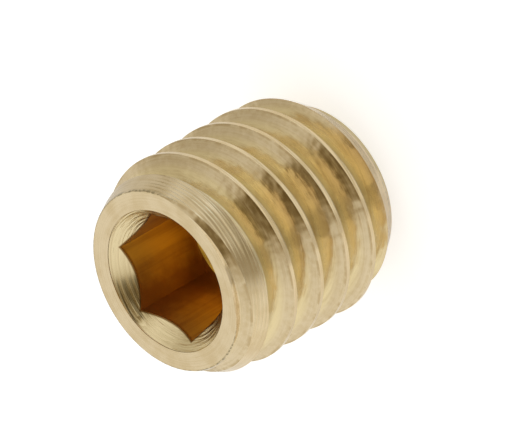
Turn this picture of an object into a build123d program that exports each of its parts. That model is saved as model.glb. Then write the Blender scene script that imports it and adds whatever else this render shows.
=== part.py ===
from build123d import *
from math import ceil, cos, radians, tan
import os

os.makedirs("parts", exist_ok=True)

# Driving dimensions, in millimetres and degrees
thread_d = 5.9                # outside diameter of the M6 thread, cut to its usual tolerance
thread_pitch = 1.0            # coarse pitch of M6, right-hand
thread_angle = 60.0           # included angle of the flanks
crest_share = 0.12            # width of the crest flat, as a share of the pitch
root_share = 0.185            # width of the groove floor, as a share of the pitch
thread_lead_in = 0.30         # depth of the first crest below the socket face, at a socket corner
screw_length = 6.0            # point to socket face
head_chamfer = 0.5            # turned off the radius at the socket end
head_chamfer_angle = 25.0     # slope of that cone to the axis
point_chamfer = 0.6           # turned off the radius at the point
point_chamfer_angle = 32.5    # slope of that cone to the axis
socket_af = 3.0               # across the flats of the hexagon
socket_depth = 2.7            # flats, measured from the socket face
countersink_margin = 0.21     # rim of the countersink outside the socket corners, on radius
countersink_angle = 90.0      # included angle of the countersink
drill_clearance = 0.02        # pilot drill inside the flats, on radius
drill_angle = 120.0           # included angle of the drill point

# Sizes that follow from them
thread_r = thread_d / 2
flank_slope = tan(radians(thread_angle / 2))
groove_mouth = thread_pitch * (1 - crest_share)
groove_floor = thread_pitch * root_share
thread_depth = (groove_mouth - groove_floor) / 2 / flank_slope
head_r = thread_r - head_chamfer
head_cone = head_chamfer / tan(radians(head_chamfer_angle))
point_r = thread_r - point_chamfer
point_cone = point_chamfer / tan(radians(point_chamfer_angle))
socket_corner_r = socket_af / 2 / cos(radians(30))
countersink_r = socket_corner_r + countersink_margin
drill_r = socket_af / 2 - drill_clearance
countersink_depth = (countersink_r - drill_r) / tan(radians(countersink_angle / 2))
drill_point = drill_r / tan(radians(drill_angle / 2))

# The groove is cut in an over-long rod, so that it runs out of both ends of the screw
groove_overcut = 0.04 * thread_pitch
groove_turns = ceil(screw_length / thread_pitch) + 3
groove_top = screw_length - thread_lead_in + 1.5 * thread_pitch
groove_start = groove_top - groove_turns * thread_pitch
rod_spare = 2 * thread_pitch

with BuildPart() as adjusting_screw:
    with Locations((0, 0, groove_start - rod_spare)):
        Cylinder(
            radius=thread_r,
            height=groove_turns * thread_pitch + 2 * rod_spare,
            align=(Align.CENTER, Align.CENTER, Align.MIN),
        )

    # Thread groove, swept up a right-hand helix
    with BuildSketch(Plane.XZ):
        with BuildLine():
            outer_half = groove_mouth / 2 + groove_overcut * flank_slope
            Polyline(
                (thread_r - thread_depth, groove_start - groove_floor / 2),
                (thread_r + groove_overcut, groove_start - outer_half),
                (thread_r + groove_overcut, groove_start + outer_half),
                (thread_r - thread_depth, groove_start + groove_floor / 2),
                close=True,
            )
        make_face()
    with BuildLine() as groove_path:
        Helix(
            pitch=thread_pitch,
            height=groove_turns * thread_pitch,
            radius=thread_r,
            center=(0, 0, groove_start),
        )
    sweep(path=groove_path.line, is_frenet=True, mode=Mode.SUBTRACT)

    # Turned outline: flat point, cylinder and a cone at each end
    with BuildSketch(Plane.XZ):
        with BuildLine():
            Polyline(
                (0, 0),
                (point_r, 0),
                (thread_r + groove_overcut, point_cone * (1 + groove_overcut / point_chamfer)),
                (thread_r + groove_overcut, screw_length - head_cone * (1 + groove_overcut / head_chamfer)),
                (head_r, screw_length),
                (0, screw_length),
                close=True,
            )
        make_face()
    revolve(axis=Axis.Z, mode=Mode.INTERSECT)

    # Drill point below the socket, and the countersink round its mouth
    with BuildSketch(Plane.XZ):
        with BuildLine():
            Polyline(
                (0, screw_length - socket_depth - drill_point),
                (drill_r, screw_length - socket_depth),
                (drill_r, screw_length - countersink_depth),
                (countersink_r, screw_length),
                (0, screw_length),
                close=True,
            )
        make_face()
    revolve(axis=Axis.Z, mode=Mode.SUBTRACT)

    # Broached hexagon
    with BuildSketch(Plane.XY.offset(screw_length)):
        RegularPolygon(radius=socket_corner_r, side_count=6)
    extrude(amount=-socket_depth, mode=Mode.SUBTRACT)

adjusting_screw.part.label = "adjusting_screw"
export_step(adjusting_screw.part, "parts/adjusting_screw.step")
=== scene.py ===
import math

import bpy
from bpy.props import (
    FloatProperty,
    FloatVectorProperty,
    IntProperty,
    PointerProperty,
)
from mathutils import Matrix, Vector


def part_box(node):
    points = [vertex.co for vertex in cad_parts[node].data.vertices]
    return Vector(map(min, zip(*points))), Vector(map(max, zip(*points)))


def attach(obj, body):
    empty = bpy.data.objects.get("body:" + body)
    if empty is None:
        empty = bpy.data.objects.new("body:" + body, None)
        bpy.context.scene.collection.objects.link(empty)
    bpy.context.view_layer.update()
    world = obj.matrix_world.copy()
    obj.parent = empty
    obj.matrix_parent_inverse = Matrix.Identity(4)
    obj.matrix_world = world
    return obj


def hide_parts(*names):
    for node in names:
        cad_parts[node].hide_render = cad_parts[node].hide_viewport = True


bl_info = {
    "name": "Adjusting Screw",
    "version": (1, 0, 0),
    "blender": (4, 5, 0),
    "location": "3D View > Sidebar > Adjusting Screw",
    "description": "Dresses the turned brass adjusting screw and its stage",
    "category": "Object",
}

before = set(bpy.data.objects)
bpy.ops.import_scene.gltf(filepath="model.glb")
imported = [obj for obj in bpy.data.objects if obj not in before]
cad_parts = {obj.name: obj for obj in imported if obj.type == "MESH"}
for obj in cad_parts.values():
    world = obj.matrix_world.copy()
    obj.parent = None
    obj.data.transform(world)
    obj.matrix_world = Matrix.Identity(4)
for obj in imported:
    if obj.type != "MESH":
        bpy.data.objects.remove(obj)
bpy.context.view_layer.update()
SCREW_LOW, SCREW_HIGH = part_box("adjusting_screw")

MM = 0.001
TAU = 2 * math.pi
FLAT_TURNS = (30, 90, 150)  # Which way the hexagon's three pairs of flats face
HEX_HALF = math.radians(30)  # Half the angle between two corners of the hexagon
DRILL_HALF = math.radians(60)  # Half the angle of the drill point
SMOOTH_BELOW = math.radians(20)  # Edges that turn by less are shaded smooth
WELD = 1e-4  # Points closer than this are one, in millimetres
CONE_LEAST = 0.1  # A cone is longer than this along both axes, in millimetres
MARK_SHARES = (0.25, 0.5, 0.75)  # Where the points of one turning mark lie
MARK_SHALLOW, MARK_TURN = 0.15, 5.1  # How much the marks differ in depth, and how often
ARC_SHARE = 0.45  # The most of a side that the rounding of its corner takes
SPARE_TURNS = 3  # Turns of the groove past the screw, both ends together
TOP_TURNS = 1.5  # Those of them above the first crest
CREST_RISE, CREST_RUN = 0.4, 1.5  # Slope that a crest's rounding runs into
BORE_OVER, KEY_OVER = 0.3, 1.0  # How far the tools stand out of the face, in millimetres
CHATTER_AND_SHADE_TURN = -57  # Side of the head cone with chatter marks and a painted dark reflection, in degrees from +X
DARK_REFLECTION_TURN = 108  # Side of the countersink with a painted dark reflection
SHADED_CORNER_TURN = 120  # Corner of the socket with painted shade
SINK_SHARE = 0.63  # Depth of the countersink's marks, as a share of the others
NICK_LONG = 1.3  # How much longer the dent is along the countersink


# ---------------------------------------------------------------- sizes and colours


def millimetres(name, description, default):
    """A size in metres, given in millimetres."""
    return FloatProperty(
        name=name,
        description=description,
        default=default * MM,
        unit="LENGTH",
        precision=5,
    )


def degrees(name, description, default):
    """An angle in radians, given in degrees."""
    return FloatProperty(
        name=name,
        description=description,
        default=math.radians(default),
        subtype="ANGLE",
    )


def colour(name, description, default):
    """A linear colour."""
    return FloatVectorProperty(
        name=name, description=description, default=default, subtype="COLOR", size=3
    )


class ScrewSizes(bpy.types.PropertyGroup):
    """Sizes of the screw"""

    thread_d: millimetres(
        "Thread diameter",
        "Outside diameter over the crests",
        (SCREW_HIGH.x - SCREW_LOW.x) / MM,
    )
    length: millimetres(
        "Length", "From the point to the socket face", (SCREW_HIGH.z - SCREW_LOW.z) / MM
    )
    pitch: millimetres("Pitch", "Distance between crests", 1.0)
    crest: millimetres("Crest width", "Flat left between two grooves", 0.12)
    root: millimetres("Root width", "Flat at the bottom of the groove", 0.185)
    lead_in: millimetres(
        "Lead-in", "Depth of the first crest below the socket face, at a socket corner", 0.30
    )
    flank_angle: degrees("Flank angle", "Slope of each side of the groove", 30)
    head_chamfer: millimetres("Head chamfer", "How far the head chamfer takes in the radius", 0.5)
    head_angle: degrees("Head angle", "Head chamfer's angle to the axis", 25)
    point_chamfer: millimetres("Point chamfer", "How far the point chamfer takes in the radius", 0.6)
    point_angle: degrees("Point angle", "Point chamfer's angle to the axis", 32.5)
    socket_af: millimetres("Socket", "Across the flats of the hexagon", 3.0)
    socket_depth: millimetres("Socket depth", "From the face to the end of the flats", 2.7)
    countersink: millimetres("Countersink", "How far its mouth stands outside the corners", 0.21)
    drill_clearance: millimetres("Drill clearance", "Pilot drill's radius under the flats", 0.02)
    edge: millimetres("Edge rounding", "Radius of the turned edges", 0.03)
    crest_edge: millimetres("Crest rounding", "Radius of the crests' edges", 0.036)
    mark_pitch: millimetres("Turning marks", "Distance between turning marks", 0.095)
    mark_depth: millimetres("Mark depth", "Depth of a turning mark", 0.005)
    sink_mark: millimetres("Countersink marks", "Distance between marks in the countersink", 0.12)
    lip: millimetres("Lip", "Straight lip at the mouth of the countersink", 0.02)
    nick: millimetres("Nick", "Radius of the knock that dented the countersink", 0.45)
    nick_depth: millimetres("Nick depth", "How deep that dent is", 0.027)
    nick_turn: degrees("Nick place", "Where the dent lies round the mouth", 127)
    steps: IntProperty(name="Steps per turn", description="Facets round the screw", default=240)


class BrassLook(bpy.types.PropertyGroup):
    """Colours of the brass"""

    pale: colour("Pale brass", "Turned brass in plain light", (0.72, 0.585, 0.365))
    warm: colour("Warm brass", "Slightly dulled brass between marks", (0.63, 0.49, 0.275))
    fresh: colour("Fresh brass", "Newly cut brass in the countersink", (0.79, 0.655, 0.385))
    # Painted reflected light half-way down the groove
    golden_painted_light: colour("Golden brass", "Brass half-way down the groove", (0.81, 0.665, 0.37))
    # Painted shade at the bottom of the groove
    olive_painted_shade: colour("Olive brass", "Brass at the bottom of the groove", (0.65, 0.56, 0.352))
    # Random stains that also stand in for painted dark reflections in the groove
    dull_stain_and_shade: colour("Dull brass", "Stains along the groove", (0.48, 0.345, 0.16))
    # Dark brass for a line along the face's edge, and for painted shade on one side of the head cone
    # and of the countersink
    dark_line_and_painted_shade: colour("Grime", "Dirt at the edge of the face and between tool marks", (0.22, 0.18, 0.09))
    # Painted reflected light on the socket's walls
    orange_painted_light: colour("Deep brass", "Brass down in the socket", (0.92, 0.66, 0.22))
    # Random streaks, and painted shade in one corner and under the mouth of the socket
    umber_streaks_and_shade: colour("Dark brass", "Film and swarf left in the socket", (0.43, 0.215, 0.07))
    # Painted shade at the foot of the drilled hole
    amber_painted_shade: colour("Amber", "Foot of the drilled hole", (0.66, 0.40, 0.06))
    # Painted shadow of the burr round the hexagon
    burr_shadow: colour("Burr", "Dark edge round the hexagon", (0.20, 0.10, 0.025))


# ---------------------------------------------------------------- modelling by hand


def deselect():
    bpy.ops.object.select_all(action="DESELECT")


def draw_outline(name, points, closed):
    """A line of vertices in the XZ plane, drawn point by point, in millimetres."""
    deselect()
    x, z = points[0]
    bpy.ops.mesh.primitive_plane_add(size=1, location=(x, 0, z))
    obj = bpy.context.object
    obj.name = name
    bpy.ops.object.transform_apply(location=True, rotation=False, scale=False)
    bpy.ops.object.mode_set(mode="EDIT")
    bpy.ops.mesh.select_mode(type="VERT")
    bpy.ops.mesh.merge(type="CENTER")
    for (x0, z0), (x1, z1) in zip(points, points[1:]):
        bpy.ops.mesh.extrude_vertices_move(
            TRANSFORM_OT_translate={"value": (x1 - x0, 0, z1 - z0)}
        )
    if closed:
        bpy.ops.object.mode_set(mode="OBJECT")
        obj.data.vertices[0].select = True
        bpy.ops.object.mode_set(mode="EDIT")
        bpy.ops.mesh.edge_face_add()
    bpy.ops.object.mode_set(mode="OBJECT")
    return obj


def lathe(name, points, steps, material):
    """A solid turned about Z from an outline that starts and ends on the axis."""
    obj = draw_outline(name, points, closed=False)
    bpy.ops.object.mode_set(mode="EDIT")
    bpy.ops.mesh.select_all(action="SELECT")
    bpy.ops.mesh.spin(steps=steps, angle=TAU, center=(0, 0, 0), axis=(0, 0, 1))
    bpy.ops.mesh.select_all(action="SELECT")
    bpy.ops.mesh.remove_doubles(threshold=WELD)
    bpy.ops.mesh.normals_make_consistent(inside=False)
    bpy.ops.object.mode_set(mode="OBJECT")
    obj.data.materials.append(material)
    return obj


def along(start, end, share):
    """The point a share of the way from start to end."""
    return tuple(a + (b - a) * share for a, b in zip(start, end))


def rounded(points, radius, count=4):
    """An outline whose inner corners are arcs of about this radius."""
    result = [points[0]]
    for before, corner, after in zip(points, points[1:], points[2:]):
        to_before = math.dist(corner, before)
        to_after = math.dist(corner, after)
        ways = [
            [(p - c) / d for p, c in zip(point, corner)]
            for point, d in ((before, to_before), (after, to_after))
        ]
        half = math.acos(max(-1, min(1, sum(a * b for a, b in zip(*ways))))) / 2
        reach = min(radius / math.tan(half), ARC_SHARE * to_before, ARC_SHARE * to_after)
        start = [c + w * reach for c, w in zip(corner, ways[0])]
        end = [c + w * reach for c, w in zip(corner, ways[1])]
        for i in range(count + 1):
            t = i / count
            result.append(
                tuple(
                    (1 - t) ** 2 * s + 2 * t * (1 - t) * c + t**2 * e
                    for s, c, e in zip(start, corner, end)
                )
            )
    return result + [points[-1]]


def marked(start, end, pitch, depth):
    """Points after start, up to end, with the shallow valleys that a turning tool leaves."""
    reach = math.dist(start, end)
    count = max(1, round(reach / pitch))
    inward = ((start[1] - end[1]) / reach, (end[0] - start[0]) / reach)
    points = []
    for i in range(count):
        this = depth * (1 - MARK_SHALLOW + MARK_SHALLOW * math.sin(MARK_TURN * i))
        for share in MARK_SHARES:
            x, z = along(start, end, (i + share) / count)
            dip = this * math.sin(math.pi * share)
            points.append((x + inward[0] * dip, z + inward[1] * dip))
        points.append(along(start, end, (i + 1) / count))
    return points


def combine(body, tool, operation):
    """Adds tool to body or takes it away, and then deletes it."""
    deselect()
    bpy.context.view_layer.objects.active = body
    body.select_set(True)
    modifier = body.modifiers.new("Combine", "BOOLEAN")
    modifier.operation = operation
    modifier.solver = "EXACT"
    modifier.material_mode = "TRANSFER"
    modifier.object = tool
    bpy.ops.object.modifier_apply(modifier=modifier.name)
    bpy.data.objects.remove(tool)
    bpy.ops.object.mode_set(mode="EDIT")
    bpy.ops.mesh.select_all(action="DESELECT")
    bpy.ops.mesh.select_mode(type="EDGE")
    bpy.ops.mesh.select_non_manifold()
    bpy.ops.object.mode_set(mode="OBJECT")
    if body.data.total_edge_sel:
        raise RuntimeError(f"{body.name} is open after {operation}")


# ---------------------------------------------------------------- shader maths


# The Mix node's sockets for colours, which share their names with its other sockets
MIX_FACTOR, MIX_FIRST, MIX_SECOND, MIX_RESULT = 0, 6, 7, 2


class Wire:
    """A value in a shader tree: Python sums on it add Math nodes"""

    def __init__(self, tree, socket):
        self.tree = tree
        self.socket = socket

    @classmethod
    def node(cls, tree, kind, settings=None, values=None, out=0):
        """Adds a node: its settings are set first, and then its sockets are set or linked."""
        made = tree.nodes.new(kind)
        for name, value in (settings or {}).items():
            setattr(made, name, value)
        for name, value in (values or {}).items():
            if isinstance(value, Wire):
                tree.links.new(value.socket, made.inputs[name])
            else:
                made.inputs[name].default_value = value
        return cls(tree, made.outputs[out])

    def math(self, operation, *others):
        values = dict(enumerate((self, *others)))
        return Wire.node(self.tree, "ShaderNodeMath", {"operation": operation}, values)

    def flipped(self, operation, other):
        values = {0: other, 1: self}
        return Wire.node(self.tree, "ShaderNodeMath", {"operation": operation}, values)

    def __add__(self, other):
        return self.math("ADD", other)

    def __sub__(self, other):
        return self.math("SUBTRACT", other)

    def __mul__(self, other):
        return self.math("MULTIPLY", other)

    def __truediv__(self, other):
        return self.math("DIVIDE", other)

    def __pow__(self, other):
        return self.math("POWER", other)

    def __radd__(self, other):
        return self.flipped("ADD", other)

    def __rsub__(self, other):
        return self.flipped("SUBTRACT", other)

    def __rmul__(self, other):
        return self.flipped("MULTIPLY", other)

    def __rtruediv__(self, other):
        return self.flipped("DIVIDE", other)

    def step(self, low, high):
        """0 below low, 1 above high, and smooth between them."""
        return Wire.node(
            self.tree,
            "ShaderNodeMapRange",
            {"interpolation_type": "SMOOTHSTEP"},
            {"Value": self, "From Min": low, "From Max": high},
        )

    def vector(self, operation, other, out="Vector"):
        """Vector maths with a wire or three numbers."""
        settings = {"operation": operation}
        return Wire.node(self.tree, "ShaderNodeVectorMath", settings, {0: self, 1: other}, out)


def blend(factor, first, second):
    """A colour between two colours, each of them a wire or three numbers."""
    first, second = (
        shade if isinstance(shade, Wire) else (*shade, 1) for shade in (first, second)
    )
    settings = {"data_type": "RGBA", "clamp_factor": True}
    values = {MIX_FACTOR: factor, MIX_FIRST: first, MIX_SECOND: second}
    return Wire.node(factor.tree, "ShaderNodeMix", settings, values, MIX_RESULT)


# ---------------------------------------------------------------- places and finishes


def facing(turn, rise):
    """The direction this many degrees round from +X and above the horizon."""
    turn, rise = math.radians(turn), math.radians(rise)
    return (math.cos(rise) * math.cos(turn), math.cos(rise) * math.sin(turn), math.sin(rise))


def hexagon(sizes):
    """From the axis to the socket's flats and to its corners, in millimetres."""
    flat = sizes.socket_af / 2 / MM
    return flat, flat / math.cos(HEX_HALF)


def face_radius(sizes):
    """From the axis to the edge of the socket face, in millimetres."""
    return (sizes.thread_d / 2 - sizes.head_chamfer) / MM


class Places:
    """Where a point lies on the screw, as shader values in millimetres"""

    def __init__(self, tree, sizes):
        self.tree = tree
        coordinates = Wire.node(tree, "ShaderNodeTexCoord", out="Object")
        self.point = Wire.node(
            tree,
            "ShaderNodeVectorMath",
            {"operation": "SCALE"},
            {0: coordinates, "Scale": 1 / MM},
        )
        self.x, self.y, self.z = (
            Wire.node(tree, "ShaderNodeSeparateXYZ", values={0: self.point}, out=axis)
            for axis in "XYZ"
        )
        flat = self.point.vector("MULTIPLY", (1, 1, 0))
        self.radius = Wire.node(
            tree, "ShaderNodeVectorMath", {"operation": "LENGTH"}, {0: flat}, "Value"
        )
        self.round = flat.vector("NORMALIZE", (0, 0, 0))
        # The size of the hexagon that the point lies on, from the axis to its flats
        first, second, third = (
            self.point.vector("DOT_PRODUCT", facing(turn, 0), "Value").math("ABSOLUTE")
            for turn in FLAT_TURNS
        )
        self.flats = first.math("MAXIMUM", second).math("MAXIMUM", third)
        # How far the point lies under the crests or the head cone
        from_face = sizes.length / MM - self.z
        cone = from_face * math.tan(sizes.head_angle) + face_radius(sizes)
        self.depth = cone.math("MINIMUM", sizes.thread_d / 2 / MM) - self.radius
        # How far up its turn of the thread the point lies, from 0 to 1
        turn = self.y.math("ARCTAN2", self.x) / TAU
        phase = (sizes.length - sizes.lead_in) / sizes.pitch
        self.thread = (self.z / (sizes.pitch / MM) - turn - phase).math("FRACT")

    def towards(self, turn):
        """How far a point's place round the axis is towards this turn, in degrees."""
        return self.round.vector("DOT_PRODUCT", facing(turn, 0), "Value")

    def streaks(self, across, fineness, stretch, detail=3.0, roughness=0.6):
        """Noise in lines that run round the screw, shorter as stretch grows."""
        pull = Wire.node(
            self.tree,
            "ShaderNodeCombineXYZ",
            values={"X": across * fineness, "Y": self.z * 0.3, "Z": 0.0},
        )
        swing = self.round.vector("MULTIPLY", (stretch, stretch, stretch))
        return self.noise(pull.vector("ADD", swing), 1.0, detail, roughness)

    def mottle(self, scale, detail=3.0, roughness=0.55):
        """Plain noise, at this many lumps a millimetre."""
        return self.noise(self.point, scale, detail, roughness)

    def noise(self, where, scale, detail, roughness):
        values = {"Vector": where, "Scale": scale, "Detail": detail, "Roughness": roughness}
        return Wire.node(self.tree, "ShaderNodeTexNoise", values=values)


def brass(name, look, sizes, finish):
    """A brass whose colour, roughness and height come from a finish function."""
    metal = bpy.data.materials.new(name)
    metal.use_nodes = True
    tree = metal.node_tree
    shader = tree.nodes["Principled BSDF"]
    shader.inputs["Metallic"].default_value = 1.0
    tint, roughness, height = finish(Places(tree, sizes), look, sizes)
    bump = Wire.node(
        tree, "ShaderNodeBump", values={"Height": height, "Distance": MM, "Strength": 1.0}
    )
    tree.links.new(tint.socket, shader.inputs["Base Color"])
    tree.links.new(roughness.socket, shader.inputs["Roughness"])
    tree.links.new(bump.socket, shader.inputs["Normal"])
    return metal


def turned_finish(at, look, sizes):
    """Turned ends and crests: fine rings, a little mottling, a dark line at the face's edge, and
    chatter marks with a painted dark reflection on one side of the cone.
    """
    lines = at.streaks(at.radius + at.z, 26.0, 1.1)
    fine = at.mottle(9.0)
    broad = at.mottle(1.6)
    clean = blend((lines * 0.4 + broad * 0.6).step(0.36, 0.62), look.warm, look.pale)
    past_face = at.radius - face_radius(sizes)
    # Painted dark reflection: the cone is darker on this side, where its chatter marks are also
    # bumped deeper
    side = at.towards(CHATTER_AND_SHADE_TURN).step(0.86, 0.98)
    chatter_and_painted_shade = side * past_face.step(0.06, 0.14)
    # A darker broken line along the edge of the face
    edge_dark_line = (1 - past_face.math("ABSOLUTE").step(0.01, 0.035)) * at.mottle(11.0).step(0.36, 0.60)
    stain_and_painted_shade = edge_dark_line * 0.75 + chatter_and_painted_shade * (1 - lines.step(0.40, 0.58)) * 0.32
    tint = blend(stain_and_painted_shade, clean, look.dark_line_and_painted_shade)
    roughness = 0.12 + fine * 0.08 + lines * 0.03
    height = lines * (0.0008 + chatter_and_painted_shade * 0.015) + fine * 0.0006
    return tint, roughness, height


def groove_finish(at, look, sizes):
    """Flanks and root: drawn out along the helix, painted golden light half-way down, painted olive
    shade at the root, painted shade by the crests, and dull stains.
    """
    lines = at.streaks(at.thread, 30.0, 1.0, 4.0, 0.7)
    smears = at.streaks(at.thread, 7.0, 1.4, 4.0, 0.65)
    fine = at.mottle(6.0)
    outer = blend((lines * 0.6 + fine * 0.4).step(0.36, 0.60), look.warm, look.pale)
    # Painted reflected light: golden half-way down the groove
    middle = blend(at.depth.step(0.15, 0.40), outer, look.golden_painted_light)
    # Painted shade: olive at the bottom of the groove
    clean = blend(at.depth.step(0.40, 0.60), middle, look.olive_painted_shade)
    # Painted shade along the edges of the crests, broken up by mottling
    painted_crest_shade = (1 - at.depth.step(0.03, 0.07)) * at.mottle(2.5).step(0.42, 0.58)
    # Dull stains deeper in the groove: random streaks, which also stand in for painted dark
    # reflections
    stain_and_painted_shade = smears.step(0.46, 0.72) * at.depth.step(0.05, 0.30) * 0.55 + painted_crest_shade * 0.6
    tint = blend(stain_and_painted_shade, clean, look.dull_stain_and_shade)
    waves = at.mottle(1.4, 2.0)
    rough_root = at.depth.step(0.28, 0.56)
    roughness = 0.09 + fine * 0.05 + lines * 0.04 + smears * 0.04 + rough_root * 0.14
    height = lines * 0.0022 + smears * 0.006 + fine * 0.0006 + waves * 0.04
    return tint, roughness, height


def bore_finish(at, look, sizes):
    """Countersink and drill point: rings, a painted dark reflection on one side, a painted burr
    shadow round the hexagon, painted amber shade at the foot.
    """
    down = sizes.length / MM - at.z
    lines = at.streaks(at.radius, 34.0, 1.0)
    rings = at.streaks(at.radius, 14.0, 1.3)
    fine = at.mottle(9.0)
    # Painted shade at the foot of the hole, in amber
    deep = down.step(0.45, 0.9)
    clean = blend(lines.step(0.26, 0.54), look.warm, look.fresh)
    # Painted dark reflection on one side of the countersink
    side = at.towards(DARK_REFLECTION_TURN).step(0.925, 0.975)
    outer = blend(side * (1 - rings.step(0.40, 0.60)) * 0.75, clean, look.dark_line_and_painted_shade)
    flat, _ = hexagon(sizes)
    # Painted shadow of a burr, in a thin line round the hexagon's mouth
    burr_shadow = (1 - (at.flats - flat).step(0.015, 0.045)) * (1 - deep)
    tint = blend(burr_shadow, blend(deep, outer, look.amber_painted_shade), look.burr_shadow)
    roughness = 0.12 + fine * 0.08 + lines * 0.06
    height = lines * 0.004 + rings * (0.03 - deep * 0.024) + fine * 0.0006
    return tint, roughness, height


def socket_finish(at, look, sizes):
    """Broached flats: streaks along the axis, painted orange light, painted shade in one corner and
    under the mouth.
    """
    streaks = at.noise(at.point.vector("MULTIPLY", (1, 1, 0.05)), 3.2, 4.0, 0.6)
    fine = at.mottle(7.0)
    _, corner = hexagon(sizes)
    mouth = corner + sizes.countersink / MM
    # Painted shade under the edge of the mouth
    under_edge = (sizes.length - sizes.lip) / MM - mouth + at.radius - at.z
    # Painted shade round one corner, broken up by mottling
    shaded_corner = tuple(corner * share for share in facing(SHADED_CORNER_TURN, 0))
    from_shaded_corner = at.point.vector("MULTIPLY", (1, 1, 0)).vector("DISTANCE", shaded_corner, "Value")
    from_shaded_corner = from_shaded_corner + (at.mottle(2.2) - 0.5) * 0.9
    clean = (from_shaded_corner.step(0.18, 1.30) * 0.95 + 0.05) * under_edge.step(0.0, 0.09)
    # Dark where painted shade lies, and in random streaks
    dark_streaks_and_shade = 1 - (1 - streaks.step(0.44, 0.72) * 0.55) * clean
    # Painted reflected light in orange, with painted shade and dark streaks over it
    tint = blend(dark_streaks_and_shade, look.orange_painted_light, look.umber_streaks_and_shade)
    roughness = 0.30 + fine * 0.08 + streaks * 0.10
    height = streaks * 0.008 + fine * 0.0004
    return tint, roughness, height


# ---------------------------------------------------------------- the screw


class SCREW_OT_body(bpy.types.Operator):
    """Models the screw: a turned blank, the thread groove, the bore and the socket"""

    bl_idname = "adjusting_screw.body"
    bl_label = "Screw"
    bl_options = {"REGISTER", "UNDO"}

    def blank(self, sizes, metal):
        """The turned blank: point, chamfers and socket face."""
        r = sizes.thread_d / 2 / MM
        top = sizes.length / MM
        edge, pitch, depth = sizes.edge / MM, sizes.mark_pitch / MM, sizes.mark_depth / MM
        point_in, head_in = sizes.point_chamfer / MM, sizes.head_chamfer / MM
        corners = [
            (0, 0),
            (r - point_in, 0),
            (r, point_in / math.tan(sizes.point_angle)),
            (r, top - head_in / math.tan(sizes.head_angle)),
            (r - head_in, top),
            (0, top),
        ]
        soft = rounded(corners, edge)
        outline = soft[:1]
        for start, end in zip(soft, soft[1:]):
            sloped = all(abs(a - b) > CONE_LEAST for a, b in zip(start, end))
            outline += marked(start, end, pitch, depth) if sloped else [end]
        return lathe("screw_body", outline, sizes.steps, metal)

    def groove(self, sizes, metal):
        """The thread groove: one profile turned along the helix."""
        r = sizes.thread_d / 2 / MM
        top = sizes.length / MM
        pitch, crest, root = sizes.pitch / MM, sizes.crest / MM, sizes.root / MM
        slope = math.tan(sizes.flank_angle)
        depth = (pitch - crest - root) / 2 / slope
        over = sizes.crest_edge / MM
        turns = math.ceil(top / pitch) + SPARE_TURNS
        start = top - sizes.lead_in / MM + (TOP_TURNS - turns) * pitch
        half = (pitch - crest) / 2
        profile = rounded(
            [
                (r + over * CREST_RISE, start - half - over * CREST_RUN),
                (r, start - half),
                (r - depth, start - root / 2),
                (r - depth, start + root / 2),
                (r, start + half),
                (r + over * CREST_RISE, start + half + over * CREST_RUN),
            ],
            over,
        )
        groove = draw_outline("groove", profile, closed=True)
        helix = groove.modifiers.new("Helix", "SCREW")
        helix.axis = "Z"
        helix.angle = TAU
        helix.screw_offset = pitch
        helix.iterations = turns
        helix.steps = helix.render_steps = sizes.steps
        helix.use_normal_calculate = True
        bpy.ops.object.modifier_apply(modifier=helix.name)
        bpy.ops.object.mode_set(mode="EDIT")
        bpy.ops.mesh.select_all(action="DESELECT")
        bpy.ops.mesh.select_mode(type="EDGE")
        bpy.ops.mesh.select_non_manifold(
            extend=False, use_wire=False, use_boundary=True, use_multi_face=False
        )
        bpy.ops.mesh.edge_face_add()
        bpy.ops.mesh.select_all(action="SELECT")
        bpy.ops.mesh.normals_make_consistent(inside=False)
        bpy.ops.object.mode_set(mode="OBJECT")
        groove.data.materials.append(metal)
        return groove

    def bore(self, sizes, metal):
        """The pilot hole with its drill point and countersink."""
        top = sizes.length / MM
        bottom = top - sizes.socket_depth / MM
        flat, corner = hexagon(sizes)
        drill = flat - sizes.drill_clearance / MM
        mouth = corner + sizes.countersink / MM
        low = (drill, top - sizes.lip / MM - (mouth - drill))
        high = (mouth, top - sizes.lip / MM)
        bulge = -SINK_SHARE * sizes.mark_depth / MM
        outline = [
            (0, bottom - drill / math.tan(DRILL_HALF)),
            (drill, bottom),
            low,
            *marked(low, high, sizes.sink_mark / MM, bulge),
            (mouth, top + BORE_OVER),
            (0, top + BORE_OVER),
        ]
        return lathe("bore", outline, sizes.steps, metal)

    def key(self, sizes, metal):
        """The hexagon that broaches the socket, one corner towards +X."""
        top = sizes.length / MM
        tall = sizes.socket_depth / MM + KEY_OVER
        _, corner = hexagon(sizes)
        deselect()
        bpy.ops.mesh.primitive_cylinder_add(
            vertices=6,
            radius=corner,
            depth=tall,
            location=(0, 0, top + KEY_OVER - tall / 2),
        )
        key = bpy.context.object
        key.name = "key"
        bpy.ops.transform.rotate(value=HEX_HALF, orient_axis="Z", center_override=(0, 0, 0))
        bpy.ops.object.transform_apply(location=True, rotation=True, scale=True)
        key.data.materials.append(metal)
        return key

    def nick(self, sizes, metal):
        """The ball that leaves a shallow dent half-way up the countersink."""
        _, corner = hexagon(sizes)
        mouth = corner + sizes.countersink / MM
        half = sizes.countersink / 2 / MM
        ball = sizes.nick / MM
        clear = (ball - sizes.nick_depth / MM) / math.sqrt(2)
        deselect()
        bpy.ops.mesh.primitive_uv_sphere_add(
            segments=96,
            ring_count=48,
            radius=ball,
            location=(mouth - half - clear, 0, sizes.length / MM - half + clear),
        )
        nick = bpy.context.object
        nick.name = "nick"
        nick.scale.y = NICK_LONG
        bpy.ops.object.transform_apply(location=True, rotation=True, scale=True)
        nick.rotation_euler.z = sizes.nick_turn
        bpy.ops.object.transform_apply(location=True, rotation=True, scale=True)
        nick.data.materials.append(metal)
        return nick

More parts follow.
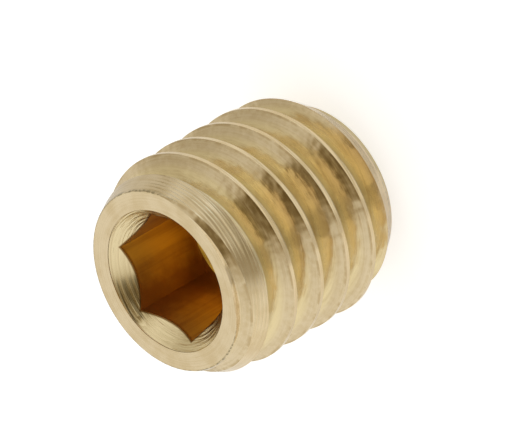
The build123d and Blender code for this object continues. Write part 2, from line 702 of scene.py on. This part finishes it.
    def execute(self, context):
        sizes = context.scene.screw_sizes
        look = context.scene.brass_look
        turned = brass("brass_turned", look, sizes, turned_finish)
        grooved = brass("brass_thread", look, sizes, groove_finish)
        bored = brass("brass_bored", look, sizes, bore_finish)
        broached = brass("brass_broached", look, sizes, socket_finish)
        body = self.blank(sizes, turned)
        hollow = self.bore(sizes, bored)
        combine(hollow, self.key(sizes, broached), "UNION")
        combine(body, hollow, "DIFFERENCE")
        combine(body, self.nick(sizes, bored), "DIFFERENCE")
        combine(body, self.groove(sizes, grooved), "DIFFERENCE")
        deselect()
        body.select_set(True)
        context.view_layer.objects.active = body
        bpy.ops.transform.resize(value=(MM, MM, MM), center_override=(0, 0, 0))
        bpy.ops.object.transform_apply(location=True, rotation=True, scale=True)
        bpy.ops.object.shade_smooth_by_angle(angle=SMOOTH_BELOW)
        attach(body, "root")
        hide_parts("adjusting_screw")
        return {"FINISHED"}


# ---------------------------------------------------------------- stage


# The side that the camera looks from, its height over the horizon and its roll, in degrees
VIEW_TURN, VIEW_RISE, VIEW_ROLL = -70.944, 39.959, -120.12
# The point that it looks at, and how far back it stands, in millimetres
VIEW_AIM, VIEW_REACH = (0.070, 0.024, 2.427), 155.747


class SCREW_OT_stage(bpy.types.Operator):
    """Adds the floor, the light tent and the camera"""

    bl_idname = "adjusting_screw.stage"
    bl_label = "Stage"
    bl_options = {"REGISTER", "UNDO"}

    def floor(self):
        """A plain white floor, which keeps the screw's shadow, with a painted shadow strip and
        painted dimmer and brighter patches seen only in reflections.
        """
        deselect()
        bpy.ops.mesh.primitive_plane_add(size=2.0, location=(0, 0, 0))
        floor = bpy.context.object
        floor.name = "floor"
        paper = bpy.data.materials.new("floor_paper")
        paper.use_nodes = True
        tree = paper.node_tree
        tree.nodes.remove(tree.nodes["Principled BSDF"])
        camera, glossy, through = (
            Wire.node(tree, "ShaderNodeLightPath", out=f"Is {kind} Ray")
            for kind in ("Camera", "Glossy", "Transmission")
        )
        place = Wire.node(tree, "ShaderNodeTexCoord", out="Object")
        away = place.vector("DISTANCE", (0, 0, 0), "Value")
        outward = place.vector("ADD", (0, 3 * MM, 0)).vector("NORMALIZE", (0, 0, 0))

        def side(turn, low, high):
            """The part of the floor that lies this way."""
            return outward.vector("DOT_PRODUCT", facing(turn, 0), "Value").step(low, high)

        # Painted shade and light seen only in reflections; each part is 1 in its middle and 0
        # outside
        painted_shadow_strip = side(-105, 0.93, 0.99) * (away.step(3 * MM, 13 * MM) * 0.52 + 0.4)
        left = side(145, 0.60, 0.95)
        bright = side(-12, 0.80, 0.98) * away.step(9 * MM, 20 * MM)
        behind = place.vector("DOT_PRODUCT", facing(60, 0), "Value").step(0.0, 16 * MM)
        glow = (1 - painted_shadow_strip) * (1 - behind * 0.7) * (1 - left * 0.15) * (1 + bright * 0.5) * 0.48
        seen = camera * 0.6 + (glossy + through) * glow
        white, cool = (1, 1, 1), (0.85, 1.05, 1.35)
        shade = blend(bright * (1 - camera), white, cool).vector("MULTIPLY", seen)
        matt = Wire.node(tree, "ShaderNodeBsdfDiffuse", values={"Color": (0.8, 0.8, 0.8, 1)})
        lit = Wire.node(tree, "ShaderNodeEmission", values={"Color": shade, "Strength": 1.0})
        both = Wire.node(tree, "ShaderNodeAddShader", values={0: matt, 1: lit})
        tree.links.new(both.socket, tree.nodes["Material Output"].inputs["Surface"])
        floor.data.materials.append(paper)

    def tent(self, scene):
        """A white light tent, warmer where it is dimmer: at its sides, slit, hole and foot."""
        world = bpy.data.worlds.new("light_tent")
        scene.world = world
        world.use_nodes = True
        tree = world.node_tree
        direction = Wire.node(tree, "ShaderNodeTexCoord", out="Generated")

        def towards(turn, rise):
            """How far a direction points this way."""
            return direction.vector("DOT_PRODUCT", facing(turn, rise), "Value")

        # Each dimmer part is 1 in its middle and 0 outside
        across = towards(-23.0, 0.0)
        high = towards(0.0, 90.0).step(0.75, 0.95)
        sides = across.step(-0.14, 0.17) * (1 - across.step(0.45, 0.70)) * (1 - high * 0.45)
        off_slit = towards(15.7, -19.7).math("ABSOLUTE").step(0.5, 0.98)
        slit = towards(-104.4, 18.2).step(0.20, 0.44) * (1 - off_slit)
        hole = towards(-70.0, 59.5).step(0.84, 1.02)
        foot = towards(40.6, -30.0).step(0.11, 0.33)
        nook = towards(33.0, -5.0).step(0.92, 0.99)
        light = (1 - sides * 0.29) * (1 - slit * 0.31) * (1 - hole * 0.77)
        light = light * (1 - foot * 0.11) * (1 - nook * 0.5)
        warmth = {
            "Red": light,
            "Green": light**1.12 * (1 - hole * 0.14),
            "Blue": light**1.38 * (1 - hole * 0.45),
        }
        sky = tree.nodes["Background"]
        colour = Wire.node(tree, "ShaderNodeCombineColor", values=warmth)
        tree.links.new(colour.socket, sky.inputs["Color"])
        sky.inputs["Strength"].default_value = 0.96

    def camera(self, scene):
        """The camera, which looks down on one side of the screw and into its socket."""
        lens = bpy.data.cameras.new("camera")
        camera = bpy.data.objects.new("camera", lens)
        scene.collection.objects.link(camera)
        lens.sensor_width = 36.0
        lens.lens = 427.7
        lens.clip_start, lens.clip_end = 0.01, 10.0
        aimed = Matrix.Translation([part * MM for part in VIEW_AIM])
        turned = Matrix.Rotation(math.radians(90 + VIEW_TURN), 4, "Z")
        tipped = Matrix.Rotation(math.radians(90 - VIEW_RISE), 4, "X")
        rolled = Matrix.Rotation(math.radians(VIEW_ROLL), 4, "Z")
        drawn_back = Matrix.Translation((0, 0, VIEW_REACH * MM))
        camera.matrix_world = aimed @ turned @ tipped @ rolled @ drawn_back
        scene.camera = camera

    def execute(self, context):
        self.floor()
        self.tent(context.scene)
        self.camera(context.scene)
        context.scene.view_settings.view_transform = "Standard"
        return {"FINISHED"}


class SCREW_PT_panel(bpy.types.Panel):
    """Lists what makes the screw"""

    bl_label = "Adjusting Screw"
    bl_idname = "SCREW_PT_panel"
    bl_space_type = "VIEW_3D"
    bl_region_type = "UI"
    bl_category = "Adjusting Screw"

    def draw(self, context):
        column = self.layout.column()
        for name in ScrewSizes.__annotations__:
            column.prop(context.scene.screw_sizes, name)
        for name in BrassLook.__annotations__:
            column.prop(context.scene.brass_look, name)
        column.operator(SCREW_OT_body.bl_idname)
        column.operator(SCREW_OT_stage.bl_idname)


CLASSES = (ScrewSizes, BrassLook, SCREW_OT_body, SCREW_OT_stage, SCREW_PT_panel)


def register():
    for cls in CLASSES:
        bpy.utils.register_class(cls)
    bpy.types.Scene.screw_sizes = PointerProperty(type=ScrewSizes)
    bpy.types.Scene.brass_look = PointerProperty(type=BrassLook)


def unregister():
    del bpy.types.Scene.brass_look
    del bpy.types.Scene.screw_sizes
    for cls in reversed(CLASSES):
        bpy.utils.unregister_class(cls)


def main():
    register()
    bpy.ops.adjusting_screw.body()
    bpy.ops.adjusting_screw.stage()


if __name__ == "__main__":
    main()
